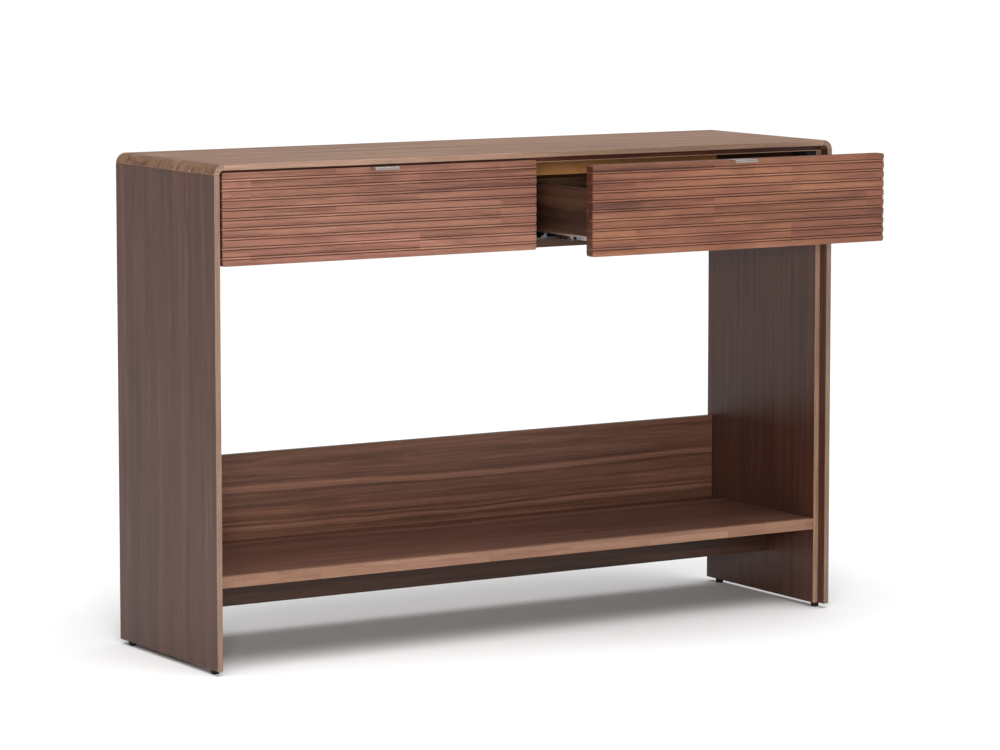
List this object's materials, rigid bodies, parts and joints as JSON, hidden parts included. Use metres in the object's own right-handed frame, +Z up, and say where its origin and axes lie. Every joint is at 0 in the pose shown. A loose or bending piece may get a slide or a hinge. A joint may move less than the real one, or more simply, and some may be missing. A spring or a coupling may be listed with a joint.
{
  "type": "console table",
  "caption": "Slim console table with a rounded shell, ribbed drawers on metal slides and a low shelf with an upstand; one drawer is drawn out.",
  "frame": {"origin": "on the floor, at the centre of the closed table's footprint", "axes": "+X along the table's width to its right end seen from in front, -Y to the front where the drawers open, +Z up"},
  "size_m": [1.2, 0.527, 0.816],
  "materials": {
    "walnut_shell": "satin",
    "walnut_edge": "satin",
    "walnut_front": "satin",
    "walnut_box": "satin",
    "plywood": "matte",
    "beech": "matte",
    "satin_nickel": "satin",
    "slide_steel": "satin",
    "zinc": "satin",
    "black_plastic": "matte",
    "clear_rubber": "matte"
  },
  "bodies": {
    "frame": {"top_panel": "walnut_shell", "corner_left": "walnut_edge", "corner_right": "walnut_edge", "outer_side_left": "walnut_shell", "outer_side_right": "walnut_shell", "inner_top": "walnut_shell", "inner_side_left": "walnut_shell", "inner_side_right": "walnut_shell", "bay_floor": "walnut_box", "bay_divider": "walnut_box", "bay_back": "walnut_box", "bay_rear_rail": "plywood", "guide_blocks": "black_plastic", "lower_shelf": "walnut_shell", "shelf_lipping": "walnut_edge", "shelf_upstand": "walnut_shell", "shelf_stretcher": "walnut_shell", "glides": "black_plastic", "dowels": "beech", "cam_locks": "zinc", "cam_bolts": "zinc", "upstand_screws": "zinc", "bay_back_screws": "zinc", "left_cabinet_rail_a": "slide_steel", "left_cabinet_rail_b": "slide_steel", "right_cabinet_rail_a": "slide_steel", "right_cabinet_rail_b": "slide_steel", "slide_screws": "zinc"},
    "left_drawer": {"left_front": "walnut_front", "left_pull": "satin_nickel", "left_pull_screws": "satin_nickel", "left_front_screws": "zinc", "left_bumpers": "clear_rubber", "left_box_side_a": "walnut_box", "left_box_side_b": "walnut_box", "left_box_subfront": "walnut_box", "left_box_back": "walnut_box", "left_box_bottom": "walnut_box", "left_drawer_rail_a": "slide_steel", "left_drawer_rail_b": "slide_steel", "left_rail_screws": "zinc", "left_catches": "black_plastic"},
    "right_drawer": {"right_front": "walnut_front", "right_pull": "satin_nickel", "right_pull_screws": "satin_nickel", "right_front_screws": "zinc", "right_bumpers": "clear_rubber", "right_box_side_a": "walnut_box", "right_box_side_b": "walnut_box", "right_box_subfront": "walnut_box", "right_box_back": "walnut_box", "right_box_bottom": "walnut_box", "right_drawer_rail_a": "slide_steel", "right_drawer_rail_b": "slide_steel", "right_rail_screws": "zinc", "right_catches": "black_plastic"},
    "left_middle_rail_a_body": {"left_middle_rail_a": "slide_steel"},
    "left_middle_rail_b_body": {"left_middle_rail_b": "slide_steel"},
    "right_middle_rail_a_body": {"right_middle_rail_a": "slide_steel"},
    "right_middle_rail_b_body": {"right_middle_rail_b": "slide_steel"}
  },
  "joints": [
    {"name": "left_drawer_slide", "type": "slide", "parent": "frame", "child": "left_drawer", "axis": [0, -1, 0], "range_m": [0, 0.26]},
    {"name": "right_drawer_slide", "type": "slide", "parent": "frame", "child": "right_drawer", "axis": [0, -1, 0], "range_m": [-0.166, 0.094]},
    {"name": "left_middle_rail_a_slide", "type": "slide", "parent": "frame", "child": "left_middle_rail_a_body", "axis": [0, -1, 0], "range_m": [0, 0.13]},
    {"name": "left_middle_rail_b_slide", "type": "slide", "parent": "frame", "child": "left_middle_rail_b_body", "axis": [0, -1, 0], "range_m": [0, 0.13]},
    {"name": "right_middle_rail_a_slide", "type": "slide", "parent": "frame", "child": "right_middle_rail_a_body", "axis": [0, -1, 0], "range_m": [-0.083, 0.047]},
    {"name": "right_middle_rail_b_slide", "type": "slide", "parent": "frame", "child": "right_middle_rail_b_body", "axis": [0, -1, 0], "range_m": [-0.083, 0.047]}
  ],
  "couplings": [
    {"joint": "left_middle_rail_a_slide", "follows": "left_drawer_slide", "ratio": 0.5},
    {"joint": "left_middle_rail_b_slide", "follows": "left_drawer_slide", "ratio": 0.5},
    {"joint": "right_middle_rail_a_slide", "follows": "right_drawer_slide", "ratio": 0.5},
    {"joint": "right_middle_rail_b_slide", "follows": "right_drawer_slide", "ratio": 0.5}
  ]
}
